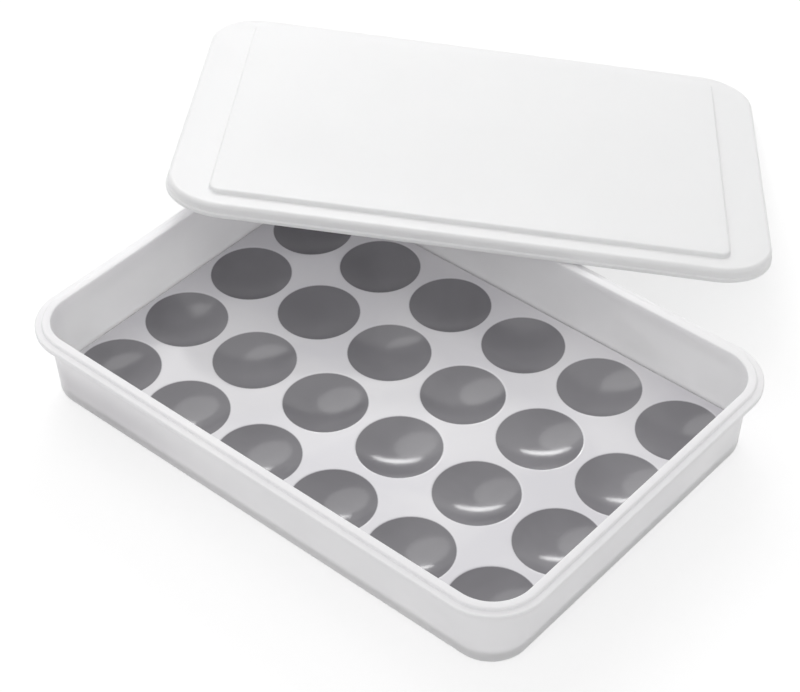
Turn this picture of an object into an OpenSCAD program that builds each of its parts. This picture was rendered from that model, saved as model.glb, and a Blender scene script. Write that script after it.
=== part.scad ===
// Egg keeper: a shallow milky box with a stepped rim, a lift-out insert with a grid of
// cups, and a milky lift-off lid that leans on the rim behind the box.
// Millimetres, +Z up, X along the long side. The origin is the middle of the underside.

/* [Cups] */
// Cups along the long side
cups_long = 6; // [2:1:8]
// Cups along the short side
cups_wide = 4; // [2:1:6]
// Distance between the middles of neighbouring cups
cup_pitch = 50; // [48:1:60]
// Width of a cup where it opens into the deck
cup_open = 46; // [42:0.5:47]
// Depth of a cup below the deck
cup_depth = 5.4; // [4:0.2:9]
// Radius that rolls the deck over into a cup
cup_roll_r = 2.5; // [1.5:0.1:3]
// Width of the flat foot under a cup
foot_d = 14; // [8:1:20]
// Height of the flat foot under a cup
foot_h = 0.8; // [0.6:0.1:1.2]

/* [Insert deck] */
// Wall of the insert, in the deck and in the cups
insert_wall = 1.2; // [0.8:0.1:1.6]
// Deck between the outer cups and its two short ends
deck_end = 2; // [0.8:0.1:6]
// Deck between the outer cups and its two long sides
deck_side = 4.5; // [0.8:0.1:8]
// Height of the lip that turns down round the deck
deck_lip_h = 4; // [2.5:0.5:5]
// Gap between the deck's edge and the wall of the box
deck_gap = 0.4; // [0.3:0.1:1]
// Gap between the feet and the floor of the box
foot_gap = 0.2; // [0.1:0.1:0.5]

/* [Box] */
// Height of the box to the top of its rim
box_h = 44.6; // [38:0.2:70]
// Wall of the box
box_wall = 1.6; // [1.2:0.1:2.4]
// Floor of the box
floor_t = 1.6; // [1.2:0.1:3]
// How much wider each wall stands at the rim than at the underside
flare_w = 2.6; // [1:0.2:5]
// Radius of the rim's outer corners
corner_r = 30; // [26:0.5:40]
// Rounding of the outer bottom edge
base_round = 3; // [1:0.5:4]
// Rounding of the inner bottom edge
floor_round = 1.5; // [1:0.5:3]

/* [Rim] */
// How far the rim stands out from the wall
rim_over = 6.6; // [5.6:0.2:9]
// Width of the raised inner band of the rim
band_w = 4.6; // [3.6:0.2:5.6]
// Drop from the raised band to the outer ledge
rim_step = 1.4; // [0.8:0.1:2]
// Thickness of the ledge
ledge_t = 1.6; // [1.2:0.1:2]
// Thickness of the lip that turns down at the ledge's edge
rim_lip_t = 1.4; // [1:0.1:2]
// Height of that lip, ledge included
rim_lip_h = 2.8; // [2.2:0.1:4]
// Rounding of the rim's edges
rim_round = 0.7; // [0.3:0.1:0.8]

/* [Lid] */
// Thickness of the lid's top
lid_t = 1.5; // [1:0.1:2]
// Thickness of the lid's skirt
skirt_t = 1.5; // [1:0.1:2]
// Depth of the skirt below the top of the lid
skirt_h = 7.5; // [6.5:0.5:12]
// Gap between the skirt and the rim when the lid is on
lid_gap = 0.5; // [0.3:0.1:1]
// Rounding of the lid's top edge
lid_round = 2.4; // [1.6:0.1:3]
// How far the hem at the skirt's bottom stands out
hem_w = 0.8; // [0.4:0.1:1.2]
// Height of the hem
hem_h = 1.8; // [1:0.1:3]

/* [Lid panel] */
// Distance from the skirt to the raised panel at the two short ends
panel_end = 24; // [14:1:30]
// Distance from the skirt to the raised panel along the two long sides
panel_side = 12; // [10:1:24]
// Radius of the panel's corners
panel_r = 6; // [3:0.5:12]
// How far the panel stands above the lid's top
panel_rise = 2.6; // [1.6:0.1:4]
// Rounding of the panel's top edge
panel_round = 1.2; // [0.6:0.1:1.5]

/* [Lid at rest] */
// Turn of the lid in its own plane
lid_turn = 33.4; // [28:0.1:40]
// Turn of the lid's fall away from the square to the box's rear side
fall_turn = 2.9; // [0:0.1:6]
// From the box's left end to the middle of the lid
lid_from_end = 76.6; // [70:0.1:90]
// From the box's rear side to the middle of the lid
lid_from_rear = 56; // [52:0.1:64]
// Gap between the lid's hem and the rim that it leans on
rest_gap = 0.3; // [0.2:0.1:1]
// Gap between the lid's lowest corner and the table
table_gap = 0.3; // [0.1:0.1:1]

/* [Hidden] */
$fn = 96;
arc_n = 6;
cut = 1;
white = [0.93, 0.93, 0.95];
grey = [0.74, 0.74, 0.76];
pale = [0.95, 0.95, 0.96];

// Points of an arc from angle a0 to angle a1 about the point c
function arc(c, r, a0, a1) =
    [for (i = [0:arc_n]) let (a = a0 + (a1 - a0) * i / arc_n) c + r * [cos(a), sin(a)]];

// Radii are taken from the middle of a corner, so one profile serves the sides and corners
wall_top_r = corner_r - rim_over;
slope_l = sqrt(flare_w * flare_w + box_h * box_h);
slope_a = atan(flare_w / box_h);
function outer_r(z) = wall_top_r - flare_w * (box_h - z) / box_h;
function inner_r(z) = outer_r(z) - box_wall;
function lean(d) = d * slope_l / box_h;

// The insert stands on the floor and keeps a named gap to the wall
foot_z = floor_t + foot_gap;
bowl_z = foot_z + insert_wall;
deck_z = bowl_z + cup_depth;
lip_z = deck_z - deck_lip_h;
function deck_r(z) = inner_r(z) - deck_gap;

// The middles of the corners, which the insert, the box and the lid share
grid_x = (cups_long - 1) * cup_pitch;
grid_y = (cups_wide - 1) * cup_pitch;
core_x = (grid_x + cup_open) / 2 + deck_end - deck_r(deck_z);
core_y = (grid_y + cup_open) / 2 + deck_side - deck_r(deck_z);
rim_x = core_x + corner_r;
rim_y = core_y + corner_r;

// A bowl is a ball that rolls over into the deck
open_r = cup_open / 2;
ball_r = (open_r * open_r / cup_depth + cup_depth) / 2 - cup_roll_r;
ball_z = bowl_z + ball_r;
roll_z = deck_z - cup_roll_r;
roll_a = atan((roll_z - ball_z) / open_r);
under_z = deck_z - insert_wall;
skin_r = ball_r + insert_wall;
skin_a = asin((under_z - ball_z) / skin_r);

// The lid's skirt goes round the rim with a named gap
skirt_in_r = corner_r + lid_gap;
skirt_r = skirt_in_r + skirt_t;
hem_r = skirt_r + hem_w;
panel_core_x = core_x + skirt_r - panel_end - panel_r;
panel_core_y = core_y + skirt_r - panel_side - panel_r;

// The lid falls away from the rear rim down to the table. Its near edge rests where it
// crosses the raised band at the rear, and its far corner rests on the table.
lid_x = lid_from_end - rim_x;
lid_y = lid_from_rear + rim_y;
hem_y = core_y + hem_r;
band_y = core_y + inner_r(box_h) + band_w;
far_run = core_x * sin(lid_turn) + core_y * cos(lid_turn) + hem_r;

// Place of that crossing along the near edge, and how far down the fall it lies
function cross_x(tilt) =
    let (
        plan_y = hem_y * (sin(fall_turn) * sin(lid_turn) - cos(fall_turn) * cos(lid_turn) * cos(tilt)),
        per_x = sin(fall_turn) * cos(lid_turn) + cos(fall_turn) * sin(lid_turn) * cos(tilt)
    )
    (band_y - lid_y - plan_y + skirt_h * sin(tilt) * cos(fall_turn)) / per_x;
function cross_run(tilt) = cross_x(tilt) * sin(lid_turn) - hem_y * cos(lid_turn);

// The two seats set the tilt, which is found by a few rounds of the same step
function next_tilt(tilt) = asin((box_h + rest_gap - table_gap) / (far_run - cross_run(tilt)));
lid_tilt = next_tilt(next_tilt(next_tilt(next_tilt(0))));
lid_z = table_gap + far_run * sin(lid_tilt) + skirt_h * cos(lid_tilt);

// Sweeps a profile of radius and height round the corners and along the sides
module ring(profile, cx, cy) {
    for (sx = [0, 1], sy = [0, 1]) {
        mirror([sx, 0, 0])
            mirror([0, sy, 0])
                translate([cx, cy, 0])
                    rotate_extrude(angle = 90)
                        polygon(profile);
    }
    for (s = [0, 1]) {
        mirror([0, s, 0])
            translate([-cx, cy, 0])
                rotate([90, 0, 90])
                    linear_extrude(2 * cx)
                        polygon(profile);
        mirror([s, 0, 0])
            translate([cx, cy, 0])
                rotate([90, 0, 0])
                    linear_extrude(2 * cy)
                        polygon(profile);
    }
}

// The flat middle that a ring goes round
module middle(cx, cy, z0, z1) {
    translate([-cx, -cy, z0])
        cube([2 * cx, 2 * cy, z1 - z0]);
}

// Underside, drafted wall, turned-down rim, raised band and inside of the box
function box_profile() =
    let (
        ledge_z = box_h - rim_step,
        band_r = inner_r(box_h) + band_w,
        floor_z = floor_t + floor_round,
        band_z = box_h - rim_round
    )
    concat(
        [[0, 0]],
        arc([outer_r(base_round) - lean(base_round), base_round], base_round, -90, -slope_a),
        [[outer_r(ledge_z - ledge_t), ledge_z - ledge_t]],
        [[corner_r - rim_lip_t, ledge_z - ledge_t]],
        [[corner_r - rim_lip_t, ledge_z - rim_lip_h]],
        [[corner_r, ledge_z - rim_lip_h]],
        arc([corner_r - rim_round, ledge_z - rim_round], rim_round, 0, 90),
        [[band_r, ledge_z]],
        arc([band_r - rim_round, band_z], rim_round, 0, 90),
        arc([inner_r(band_z) + lean(rim_round), band_z], rim_round, 90, 180 - slope_a),
        arc([inner_r(floor_z) - lean(floor_round), floor_z], floor_round, -slope_a, -90),
        [[0, floor_t]]
    );

module base_box() {
    color(white)
        union() {
            middle(core_x, core_y, 0, floor_t);
            ring(box_profile(), core_x, core_y);
        }
}

// Deck with a lip that turns down beside the wall
function deck_profile() = [
    [0, under_z],
    [deck_r(under_z) - insert_wall, under_z],
    [deck_r(lip_z) - insert_wall, lip_z],
    [deck_r(lip_z), lip_z],
    [deck_r(deck_z), deck_z],
    [0, deck_z]
];

// Hollow of a cup, from the axis out along the ball and over the roll
function bowl_profile() = concat(
    arc([0, ball_z], ball_r, -90, roll_a),
    arc([open_r, roll_z], cup_roll_r, 180 + roll_a, 90),
    [[open_r, deck_z + cut], [0, deck_z + cut]]
);

// Outside of a cup below the deck
function skin_profile() = concat(
    arc([0, ball_z], skin_r, -90, skin_a),
    [[0, under_z]]
);

module at_cups() {
    for (i = [0:cups_long - 1], j = [0:cups_wide - 1]) {
        translate([i * cup_pitch - grid_x / 2, j * cup_pitch - grid_y / 2, 0])
            children();
    }
}

module egg_tray() {
    color(grey)
        difference() {
            union() {
                middle(core_x, core_y, under_z, deck_z);
                ring(deck_profile(), core_x, core_y);
                at_cups() {
                    rotate_extrude()
                        polygon(skin_profile());
                    translate([0, 0, foot_z])
                        cylinder(d = foot_d, h = foot_h);
                }
            }
            at_cups()
                rotate_extrude()
                    polygon(bowl_profile());
        }
}

// Top, rounded edge, skirt and hem of the lid, with the top at height 0
function lid_profile() = concat(
    [[0, -lid_t]],
    [[skirt_in_r, -lid_t]],
    [[skirt_in_r, -skirt_h]],
    [[hem_r, -skirt_h]],
    [[hem_r, hem_h - skirt_h]],
    [[skirt_r, hem_h + hem_w - skirt_h]],
    arc([skirt_r - lid_round, -lid_round], lid_round, 0, 90),
    [[0, 0]]
);

// Raised panel, a flat sheet with a rounded top edge
panel_under_z = panel_rise - lid_t;
function panel_profile() = concat(
    [[0, panel_under_z], [panel_r, panel_under_z]],
    arc([panel_r - panel_round, panel_rise - panel_round], panel_round, 0, 90),
    [[0, panel_rise]]
);

// Wall that carries the raised panel
function riser_profile() = [
    [panel_r - lid_t, -lid_t],
    [panel_r, -lid_t],
    [panel_r, panel_under_z],
    [panel_r - lid_t, panel_under_z]
];

// Puts the lid where it leans
module at_lid() {
    translate([lid_x, lid_y, lid_z])
        rotate([0, 0, fall_turn])
            rotate([-lid_tilt, 0, 0])
                rotate([0, 0, lid_turn])
                    children();
}

// All that lies above the underside of the lid's top
module above_skirt() {
    translate([-core_x - hem_r - cut, -core_y - hem_r - cut, -lid_t])
        cube([2 * (core_x + hem_r + cut), 2 * (core_y + hem_r + cut), lid_t + panel_rise + cut]);
}

module lid_panel() {
    color(pale)
        at_lid()
            union() {
                middle(panel_core_x, panel_core_y, panel_under_z, panel_rise);
                ring(panel_profile(), panel_core_x, panel_core_y);
            }
}

module lid_top() {
    color(pale)
        at_lid()
            union() {
                difference() {
                    union() {
                        middle(core_x, core_y, -lid_t, 0);
                        intersection() {
                            ring(lid_profile(), core_x, core_y);
                            above_skirt();
                        }
                    }
                    middle(panel_core_x, panel_core_y, -lid_t - cut, cut);
                    ring([[0, -lid_t - cut], [panel_r, -lid_t - cut], [panel_r, cut], [0, cut]],
                        panel_core_x, panel_core_y);
                }
                ring(riser_profile(), panel_core_x, panel_core_y);
            }
}

module lid_skirt() {
    color(pale)
        at_lid()
            difference() {
                ring(lid_profile(), core_x, core_y);
                above_skirt();
            }
}

base_box();
egg_tray();
lid_panel();
lid_top();
lid_skirt();
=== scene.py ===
from math import acos, asin, pi, radians, tan

import bmesh
import bpy
from mathutils import Matrix, Vector


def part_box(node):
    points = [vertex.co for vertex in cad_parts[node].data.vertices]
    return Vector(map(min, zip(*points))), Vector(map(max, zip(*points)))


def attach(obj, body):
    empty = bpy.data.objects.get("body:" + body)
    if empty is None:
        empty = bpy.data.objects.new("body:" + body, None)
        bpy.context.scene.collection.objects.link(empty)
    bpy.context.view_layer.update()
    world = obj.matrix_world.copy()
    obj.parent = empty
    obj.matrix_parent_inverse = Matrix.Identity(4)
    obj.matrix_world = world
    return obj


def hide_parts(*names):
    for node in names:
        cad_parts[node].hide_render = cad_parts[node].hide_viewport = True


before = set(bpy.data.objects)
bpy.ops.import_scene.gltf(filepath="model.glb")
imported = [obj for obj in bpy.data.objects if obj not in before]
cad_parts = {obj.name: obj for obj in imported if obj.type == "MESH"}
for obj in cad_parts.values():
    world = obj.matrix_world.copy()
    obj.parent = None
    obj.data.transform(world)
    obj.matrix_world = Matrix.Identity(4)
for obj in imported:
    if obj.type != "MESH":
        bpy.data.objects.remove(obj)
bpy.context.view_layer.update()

# The box is one injection moulding in milky polypropylene. Its walls lean out, its corners
# are round, and its rim has a raised inner band, a ledge outside it and a lip turned down.
_, box_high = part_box("base_box")
box_h = box_high.z
corner_r = 0.030
box_core = Vector((box_high.x - corner_r, box_high.y - corner_r, 0))
box_wall = 0.0016
floor_t = 0.0016
draft = 0.0026
base_round = 0.003
floor_round = 0.0015
rim_over = 0.0066
band_w = 0.0046
rim_step = 0.0014
ledge_t = 0.0016
lip_t = 0.0014
lip_h = 0.0028
rim_round = 0.0007
small_round = 0.0004
step_round = 0.00095
arc_steps = 6
corner_steps = 28
flat_r = 0.012
sharp_angle = radians(50)
same_place = 1e-6


def chain(bm, corners, core):
    """Draws edges through (radius, height, rounding) corners, out from the middle of a corner."""
    verts = [bm.verts.new((core.x + radius, core.y, height)) for radius, height, _ in corners]
    for start, end in zip(verts, verts[1:]):
        bm.edges.new((start, end))
    for vert, (_, _, rounding) in zip(verts, corners):
        if rounding:
            before, after = (edge.other_vert(vert).co - vert.co for edge in vert.link_edges)
            reach = rounding / tan(before.angle(after) / 2)
            bmesh.ops.bevel(bm, geom=[vert], offset=reach, offset_type="OFFSET", affect="VERTICES",
                            segments=arc_steps, profile=0.5, material=-1)


def only(kind, geom):
    """The items of one kind in what an operator gives back."""
    return [item for item in geom if isinstance(item, kind)]


def moulding(corners, core):
    """Turns a chain round one corner, draws it along both sides and mirrors that quarter."""
    bm = bmesh.new()
    chain(bm, corners, core)
    first = bm.edges[:]
    turned = bmesh.ops.spin(bm, geom=bm.verts[:] + first, cent=core, axis=(0, 0, 1),
                            angle=pi / 2, steps=corner_steps)
    last = only(bmesh.types.BMEdge, turned["geom_last"])
    for edges, way in ((first, (0, -core.y, 0)), (last, (-core.x, 0, 0))):
        drawn = bmesh.ops.extrude_edge_only(bm, edges=edges)["geom"]
        bmesh.ops.translate(bm, verts=only(bmesh.types.BMVert, drawn), vec=way)
    for axis in "XY":
        bmesh.ops.mirror(bm, geom=bm.verts[:] + bm.edges[:] + bm.faces[:], axis=axis,
                         merge_dist=same_place)
    bmesh.ops.remove_doubles(bm, verts=bm.verts, dist=same_place)
    return bm


def open_edges(bm, height):
    """The edges with a face on one side only that lie flat at a height."""
    return [edge for edge in bm.edges if edge.is_boundary
            and all(abs(vert.co.z - height) < same_place for vert in edge.verts)]


def make_piece(bm, name, material):
    """A smooth object whose flat faces stay flat beside their rounded edges."""
    bmesh.ops.recalc_face_normals(bm, faces=bm.faces)
    mesh = bpy.data.meshes.new(name)
    bm.to_mesh(mesh)
    bm.free()
    mesh.shade_smooth()
    mesh.set_sharp_from_angle(angle=sharp_angle)
    mesh.materials.append(material)
    piece = bpy.data.objects.new(name, mesh)
    bpy.context.scene.collection.objects.link(piece)
    normals = piece.modifiers.new("flat faces", "WEIGHTED_NORMAL")
    normals.keep_sharp = True
    return piece


def outer_r(height):
    """The corner radius of the drafted outer wall at a height."""
    return corner_r - rim_over - draft * (box_h - height) / box_h


ledge_z = box_h - rim_step
band_r = outer_r(box_h) - box_wall + band_w
box_mesh = moulding([
    (flat_r, 0, 0),
    (outer_r(0), 0, base_round),
    (outer_r(ledge_z - ledge_t), ledge_z - ledge_t, small_round),
    (corner_r - lip_t, ledge_z - ledge_t, small_round),
    (corner_r - lip_t, ledge_z - lip_h, small_round),
    (corner_r, ledge_z - lip_h, small_round),
    (corner_r, ledge_z, rim_round),
    (band_r, ledge_z, small_round),
    (band_r, box_h, step_round),
    (outer_r(box_h) - box_wall, box_h, rim_round),
    (outer_r(floor_t) - box_wall, floor_t, floor_round),
    (flat_r, floor_t, 0),
], box_core)
for height in (0, floor_t):
    bmesh.ops.edgeloop_fill(box_mesh, edges=open_edges(box_mesh, height))


def node(tree, kind, inputs=None, **settings):
    """Adds a node, sets its properties and sets or links its inputs."""
    made = tree.nodes.new(kind)
    for name, value in settings.items():
        setattr(made, name, value)
    for name, value in (inputs or {}).items():
        if isinstance(value, bpy.types.NodeSocket):
            tree.links.new(value, made.inputs[name])
        else:
            made.inputs[name].default_value = value
    return made


# Moulded plastic, shared by the three pieces: slow clouds where the melt flowed, a fine
# ripple of the mould's polish, and patches rubbed a little duller by handling.
moulded = bpy.data.node_groups.new("moulded_plastic", "ShaderNodeTree")
for name, value in (("Cloud Size", 12.0), ("Ripple Size", 220.0), ("Rub Size", 26.0)):
    socket = moulded.interface.new_socket(name, in_out="INPUT", socket_type="NodeSocketFloat")
    socket.default_value = value
for name in ("Cloud", "Ripple", "Rubbed"):
    moulded.interface.new_socket(name, in_out="OUTPUT", socket_type="NodeSocketFloat")
given = node(moulded, "NodeGroupInput").outputs
place = node(moulded, "ShaderNodeTexCoord").outputs["Object"]
cloud = node(moulded, "ShaderNodeTexNoise",
             {"Vector": place, "Scale": given["Cloud Size"], "Detail": 3.0,
              "Roughness": 0.45, "Distortion": 0.6})
cloud = node(moulded, "ShaderNodeMapRange",
             {"Value": cloud.outputs["Fac"], "From Min": 0.36, "From Max": 0.66},
             interpolation_type="SMOOTHSTEP")
ripple = node(moulded, "ShaderNodeTexNoise",
              {"Vector": place, "Scale": given["Ripple Size"], "Detail": 2.0, "Roughness": 0.4})
rubbed = node(moulded, "ShaderNodeTexNoise",
              {"Vector": place, "Scale": given["Rub Size"], "Detail": 2.0})
rubbed = node(moulded, "ShaderNodeMapRange",
              {"Value": rubbed.outputs["Fac"], "From Min": 0.4, "From Max": 0.7},
              interpolation_type="SMOOTHSTEP")
node(moulded, "NodeGroupOutput",
     {"Cloud": cloud.outputs["Result"], "Ripple": ripple.outputs["Fac"],
      "Rubbed": rubbed.outputs["Result"]})


def new_finish(name):
    """A material with its shader, and the shared plastic effect beside it."""
    material = bpy.data.materials.new(name)
    material.use_nodes = True
    tree = material.node_tree
    shader = tree.nodes["Principled BSDF"]
    effect = node(tree, "ShaderNodeGroup", node_tree=moulded)
    return material, tree, shader, effect


def blend(tree, factor, first, second):
    """The colour between a first and a second one."""
    return node(tree, "ShaderNodeMix", {"Factor": factor, "A": first, "B": second},
                data_type="RGBA").outputs["Result"]


def dress(tree, shader, effect, colour, roughness, ripple, ripple_h):
    """Gives a shader its colour, its roughness in and out of the rubbed patches, and the ripple."""
    low, high = roughness
    rubbed = node(tree, "ShaderNodeMapRange",
                  {"Value": effect.outputs["Rubbed"], "To Min": low, "To Max": high})
    bump = node(tree, "ShaderNodeBump",
                {"Height": effect.outputs["Ripple"], "Strength": ripple, "Distance": ripple_h})
    tree.links.new(colour, shader.inputs["Base Color"])
    tree.links.new(rubbed.outputs["Result"], shader.inputs["Roughness"])
    tree.links.new(bump.outputs["Normal"], shader.inputs["Normal"])


milky, tree, shader, effect = new_finish("milky_polypropylene")
effect.inputs["Cloud Size"].default_value = 11.0
plain = blend(tree, effect.outputs["Cloud"], (0.93, 0.915, 0.935, 1), (0.87, 0.86, 0.88, 1))
# Painted shade: the colour is darker low down in the front wall, towards its left end
place = node(tree, "ShaderNodeTexCoord").outputs["Object"]
axes = node(tree, "ShaderNodeSeparateXYZ", {"Vector": place}).outputs
painted_shade = None
for along, start, end in (("X", 0.02, -0.11), ("Y", -0.100, -0.108), ("Z", 0.036, 0.012)):
    part = node(tree, "ShaderNodeMapRange",
                {"Value": axes[along], "From Min": start, "From Max": end},
                interpolation_type="SMOOTHSTEP").outputs["Result"]
    if painted_shade is not None:
        part = node(tree, "ShaderNodeMath", {0: painted_shade, 1: part}, operation="MULTIPLY").outputs[0]
    painted_shade = part
colour = blend(tree, painted_shade, plain, (0.48, 0.47, 0.485, 1))
dress(tree, shader, effect, colour, roughness=(0.38, 0.43), ripple=0.12, ripple_h=0.0004)
shader.inputs["IOR"].default_value = 1.49
shader.inputs["Subsurface Weight"].default_value = 0.9
shader.inputs["Subsurface Radius"].default_value = (1, 1, 1)
shader.inputs["Subsurface Scale"].default_value = 0.006

box_shell = make_piece(box_mesh, "box_shell", milky)
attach(box_shell, "box")
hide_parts("base_box")

# The insert is one thin moulding in glossy polystyrene: a flat deck with round cups sunk in
# it, a flat foot under each cup, and a lip that turns down beside the wall of the box.
tray_low, tray_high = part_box("egg_tray")
deck_z = tray_high.z
deck_r = tray_high.x - box_core.x
insert_wall = 0.0012
deck_lip_h = 0.004
deck_round = 0.0006
cups_long = 6
cups_wide = 4
cup_pitch = 0.050
cup_open_r = 0.023
cup_depth = 0.0054
cup_roll_r = 0.0025
foot_r = 0.007
foot_round = 0.0003
collar = 0.0005
cup_steps = 56
bowl_steps = 12
roll_steps = 5
skin_steps = 8
foot_steps = 3
lip_z = deck_z - deck_lip_h
under_z = deck_z - insert_wall
lip_r = deck_r - draft * deck_lip_h / box_h
edge_r = deck_r - deck_round - collar
tray_mesh = moulding([
    (edge_r, deck_z, 0),
    (deck_r, deck_z, deck_round),
    (lip_r, lip_z, small_round),
    (lip_r - insert_wall, lip_z, small_round),
    (deck_r - insert_wall, under_z, small_round),
    (edge_r - insert_wall, under_z, 0),
], box_core)

# A bowl is part of a ball, which rolls over into the deck all round
bowl_z = deck_z - cup_depth
ball_r = (cup_open_r ** 2 / cup_depth + cup_depth) / 2 - cup_roll_r
ball_z = bowl_z + ball_r
roll_z = deck_z - cup_roll_r
roll_angle = asin(cup_open_r / (ball_r + cup_roll_r))


def arc_on(bm, vert, middle, angle, steps):
    """Carries a vertex along an arc in the X-Z plane, outwards, and gives the last vertex."""
    swung = bmesh.ops.spin(bm, geom=[vert], cent=middle, axis=(0, -1, 0), angle=angle, steps=steps)
    return only(bmesh.types.BMVert, swung["geom_last"])[0]


def step_on(bm, vert, way):
    """Carries a vertex along a straight edge and gives the new one."""
    drawn = bmesh.ops.extrude_vert_indiv(bm, verts=[vert])["verts"]
    bmesh.ops.translate(bm, verts=drawn, vec=way)
    return drawn[0]


cup = bmesh.new()
end = arc_on(cup, cup.verts.new((0, 0, bowl_z)), (0, 0, ball_z), roll_angle, bowl_steps)
end = arc_on(cup, end, (cup_open_r, 0, roll_z), -roll_angle, roll_steps)
step_on(cup, end, (collar, 0, 0))
skin_r = ball_r + insert_wall
foot_angle = asin(foot_r / skin_r)
under_angle = acos((ball_z - under_z) / skin_r)
end = step_on(cup, cup.verts.new((0, 0, tray_low.z)), (foot_r - foot_round, 0, 0))
end = arc_on(cup, end, (foot_r - foot_round, 0, tray_low.z + foot_round), pi / 2, foot_steps)
foot_top = ball_z - (skin_r ** 2 - foot_r ** 2) ** 0.5
end = step_on(cup, end, (0, 0, foot_top - end.co.z))
end = arc_on(cup, end, (0, 0, ball_z), under_angle - foot_angle, skin_steps)
step_on(cup, end, (collar, 0, 0))
bmesh.ops.spin(cup, geom=cup.verts[:] + cup.edges[:], cent=(0, 0, 0), axis=(0, 0, 1),
               angle=2 * pi, steps=cup_steps, use_merge=True)
bmesh.ops.remove_doubles(cup, verts=cup.verts, dist=same_place)
cup_part = bpy.data.meshes.new("cup")
cup.to_mesh(cup_part)
cup.free()
for along in range(cups_long):
    for across in range(cups_wide):
        spot = Vector((along - (cups_long - 1) / 2, across - (cups_wide - 1) / 2, 0)) * cup_pitch
        cup_part.transform(Matrix.Translation(spot))
        tray_mesh.from_mesh(cup_part)
        cup_part.transform(Matrix.Translation(-spot))
bpy.data.meshes.remove(cup_part)
for height in (deck_z, under_z):
    bmesh.ops.triangle_fill(tray_mesh, edges=open_edges(tray_mesh, height), use_beauty=True,
                            normal=(0, 0, 1))

glossy, tree, shader, effect = new_finish("glossy_grey_insert")
effect.inputs["Cloud Size"].default_value = 16.0
place = node(tree, "ShaderNodeTexCoord").outputs["Object"]
height = node(tree, "ShaderNodeSeparateXYZ", {"Vector": place}).outputs["Z"]
# Painted shade: everything sunk below the deck is coloured much darker than the deck, as shade in the
# hollow cups
cup_shade_mask = node(tree, "ShaderNodeMapRange",
            {"Value": height, "From Min": deck_z - 0.0003, "From Max": deck_z - 0.00002,
             "To Min": 1.0, "To Max": 0.0}, interpolation_type="SMOOTHSTEP")
deck_colour = blend(tree, effect.outputs["Cloud"], (0.80, 0.79, 0.81, 1), (0.74, 0.73, 0.76, 1))
painted_cup_shade = blend(tree, effect.outputs["Cloud"], (0.24, 0.235, 0.25, 1), (0.20, 0.195, 0.21, 1))
colour = blend(tree, cup_shade_mask.outputs["Result"], deck_colour, painted_cup_shade)
dress(tree, shader, effect, colour, roughness=(0.15, 0.17), ripple=0.08, ripple_h=0.0003)
shader.inputs["IOR"].default_value = 1.55

cup_insert = make_piece(tray_mesh, "cup_insert", glossy)
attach(cup_insert, "insert")
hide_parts("egg_tray")

# The lid is one thin moulding in the same milky plastic, a little paler: a flat top with a
# raised panel, a rounded edge, a skirt that goes over the box's rim, and a thin hem.
lid_t = 0.0015
skirt_t = 0.0015
skirt_h = 0.0075
lid_gap = 0.0005
lid_round = 0.0024
lid_in_round = 0.0012
hem_w = 0.00075
hem_h = 0.0018
panel_end = 0.024
panel_side = 0.012
panel_r = 0.006
panel_rise = 0.0026
panel_round = 0.0012
panel_fillet = 0.0008
flare = 0.002
lid_edge_w = 0.008
lid_turn = radians(33.4)
lid_tilt = radians(-10.74)
fall_turn = radians(2.9)
skirt_in_r = corner_r + lid_gap
skirt_r = skirt_in_r + skirt_t
hem_r = skirt_r + hem_w
lid_flat_r = skirt_r - lid_edge_w
panel_core = box_core + Vector((skirt_r - panel_end - panel_r, skirt_r - panel_side - panel_r, 0))
lid_mesh = moulding([
    (lid_flat_r, 0, 0),
    (skirt_r, 0, lid_round),
    (skirt_r, hem_h + hem_w - skirt_h, small_round),
    (hem_r, hem_h - skirt_h, small_round),
    (hem_r, -skirt_h, small_round),
    (skirt_in_r, -skirt_h, small_round),
    (skirt_in_r, -lid_t, lid_in_round),
    (lid_flat_r, -lid_t, 0),
], box_core)
for wall_r, base_z, top_z, top_round in (
    (panel_r, 0, panel_rise, panel_round),
    (panel_r - lid_t, -lid_t, panel_rise - lid_t, panel_fillet),
):
    panel = moulding([
        (panel_r + flare, base_z, 0),
        (wall_r, base_z, panel_fillet),
        (wall_r, top_z, top_round),
        (wall_r - flare, top_z, 0),
    ], panel_core)
    bmesh.ops.edgeloop_fill(panel, edges=open_edges(panel, top_z))
    part = bpy.data.meshes.new("panel")
    panel.to_mesh(part)
    panel.free()
    lid_mesh.from_mesh(part)
    bpy.data.meshes.remove(part)
    bmesh.ops.bridge_loops(lid_mesh, edges=open_edges(lid_mesh, base_z))

# It leans on the box's rear rim and on the table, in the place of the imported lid
for angle, axis in ((lid_turn, "Z"), (lid_tilt, "X"), (fall_turn, "Z")):
    bmesh.ops.rotate(lid_mesh, verts=lid_mesh.verts, cent=(0, 0, 0),
                     matrix=Matrix.Rotation(angle, 3, axis))
lid_nodes = ("lid_panel", "lid_top", "lid_skirt")
corners = [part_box(name) for name in lid_nodes]
for axis in range(3):
    low = min(corner[0][axis] for corner in corners)
    high = max(corner[1][axis] for corner in corners)
    reach = [vert.co[axis] for vert in lid_mesh.verts]
    way = Vector((0, 0, 0))
    way[axis] = (low + high - min(reach) - max(reach)) / 2
    bmesh.ops.translate(lid_mesh, verts=lid_mesh.verts, vec=way)

pale, tree, shader, effect = new_finish("pale_polypropylene")
effect.inputs["Cloud Size"].default_value = 9.0
colour = blend(tree, effect.outputs["Cloud"], (0.985, 0.985, 0.99, 1), (0.97, 0.97, 0.975, 1))
dress(tree, shader, effect, colour, roughness=(0.30, 0.35), ripple=0.08, ripple_h=0.0003)
shader.inputs["IOR"].default_value = 1.49
shader.inputs["Transmission Weight"].default_value = 0.12
shader.inputs["Subsurface Weight"].default_value = 0.6
shader.inputs["Subsurface Radius"].default_value = (1, 1, 1)
shader.inputs["Subsurface Scale"].default_value = 0.003
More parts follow.
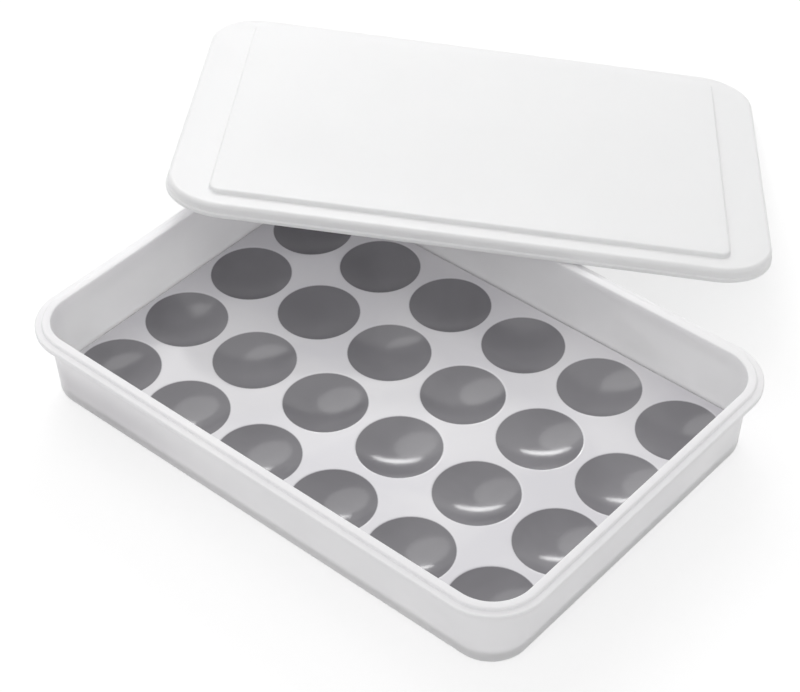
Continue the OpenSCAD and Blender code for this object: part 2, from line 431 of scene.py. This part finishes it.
# The thin plastic lets part of the lamps' light through, so its shadow stays light
let_through = node(tree, "ShaderNodeBsdfTransparent", {"Color": (0.5, 0.5, 0.5, 1)})
lit = node(tree, "ShaderNodeMixShader", {"Fac": node(tree, "ShaderNodeLightPath").outputs["Is Shadow Ray"]})
tree.links.new(shader.outputs["BSDF"], lit.inputs[1])
tree.links.new(let_through.outputs["BSDF"], lit.inputs[2])
tree.links.new(lit.outputs["Shader"], tree.nodes["Material Output"].inputs["Surface"])

milky_lid = make_piece(lid_mesh, "milky_lid", pale)
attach(milky_lid, "lid")
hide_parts(*lid_nodes)

# The camera stands in front and to the right of the box, at the photograph's angle.
azimuth = radians(41.04)
elevation = radians(41.93)
camera_roll = radians(-0.49)
distance = 1.1296
sensor_w = 36
lens = 98.53
aim = Vector((-0.0121, 0.0187, 0.0246))
camera_data = bpy.data.cameras.new("camera")
camera_data.sensor_width = sensor_w
camera_data.lens = lens
camera = bpy.data.objects.new("camera", camera_data)
bpy.context.scene.collection.objects.link(camera)
camera.matrix_world = (
    Matrix.Translation(aim)
    @ Matrix.Rotation(azimuth, 4, "Z")
    @ Matrix.Rotation(pi / 2 - elevation, 4, "X")
    @ Matrix.Rotation(camera_roll, 4, "Z")
    @ Matrix.Translation((0, 0, distance))
)
bpy.context.scene.camera = camera

# The table is a plain white sheet that shows white and keeps the soft shadow of the box.
table_size = 6.0
table_glow = 0.64


def seen(tree):
    """1 for what the camera sees straight, in a reflection or through the lid."""
    path = node(tree, "ShaderNodeLightPath").outputs
    either = node(tree, "ShaderNodeMath",
                  {0: path["Is Glossy Ray"], 1: path["Is Transmission Ray"]}, operation="MAXIMUM")
    return node(tree, "ShaderNodeMath",
                {0: path["Is Camera Ray"], 1: either.outputs[0]}, operation="MAXIMUM").outputs[0]


table_mesh = bpy.data.meshes.new("table")
bm = bmesh.new()
bmesh.ops.create_grid(bm, x_segments=1, y_segments=1, size=table_size / 2)
bm.to_mesh(table_mesh)
bm.free()
white = bpy.data.materials.new("white_table")
white.use_nodes = True
tree = white.node_tree
shader = tree.nodes["Principled BSDF"]
colour = blend(tree, seen(tree), (0.9, 0.9, 0.9, 1), (0.45, 0.45, 0.45, 1))
tree.links.new(colour, shader.inputs["Base Color"])
shader.inputs["Roughness"].default_value = 0.9
shader.inputs["Specular IOR Level"].default_value = 0.0
shader.inputs["Emission Color"].default_value = (1, 1, 1, 1)
glow = node(tree, "ShaderNodeMath", {0: seen(tree), 1: table_glow}, operation="MULTIPLY")
tree.links.new(glow.outputs[0], shader.inputs["Emission Strength"])
table_mesh.materials.append(white)
table = bpy.data.objects.new("table", table_mesh)
bpy.context.scene.collection.objects.link(table)

# The light is a pale room with one large soft lamp high behind the left end, a low narrow
# one that draws the thin highlights in the cups, and a weak one in front for the walls.
room_light = 0.62
world = bpy.data.worlds.new("room")
bpy.context.scene.world = world
world.use_nodes = True
tree = world.node_tree
strength = node(tree, "ShaderNodeMapRange",
                {"Value": seen(tree), "To Min": room_light, "To Max": 1.0})
tree.nodes["Background"].inputs["Color"].default_value = (1, 1, 1, 1)
tree.links.new(strength.outputs["Result"], tree.nodes["Background"].inputs["Strength"])


def lamp(name, place, size, watts):
    """A soft area lamp that faces the middle of the box."""
    data = bpy.data.lights.new(name, "AREA")
    data.shape = "ELLIPSE"
    data.size, data.size_y = size
    data.energy = watts
    lit = bpy.data.objects.new(name, data)
    lit.location = place
    lit.rotation_euler = (-Vector(place)).to_track_quat("-Z", "Y").to_euler()
    bpy.context.scene.collection.objects.link(lit)


lamp("key", (-1.34, 0.62, 1.89), (1.7, 1.7), 10)
lamp("strip", (-0.77, 0.97, 0.79), (0.95, 0.17), 4.5)
lamp("fill", (0.0, -1.3, 1.0), (0.8, 0.8), 1.8)

bpy.context.scene.view_settings.view_transform = "Standard"
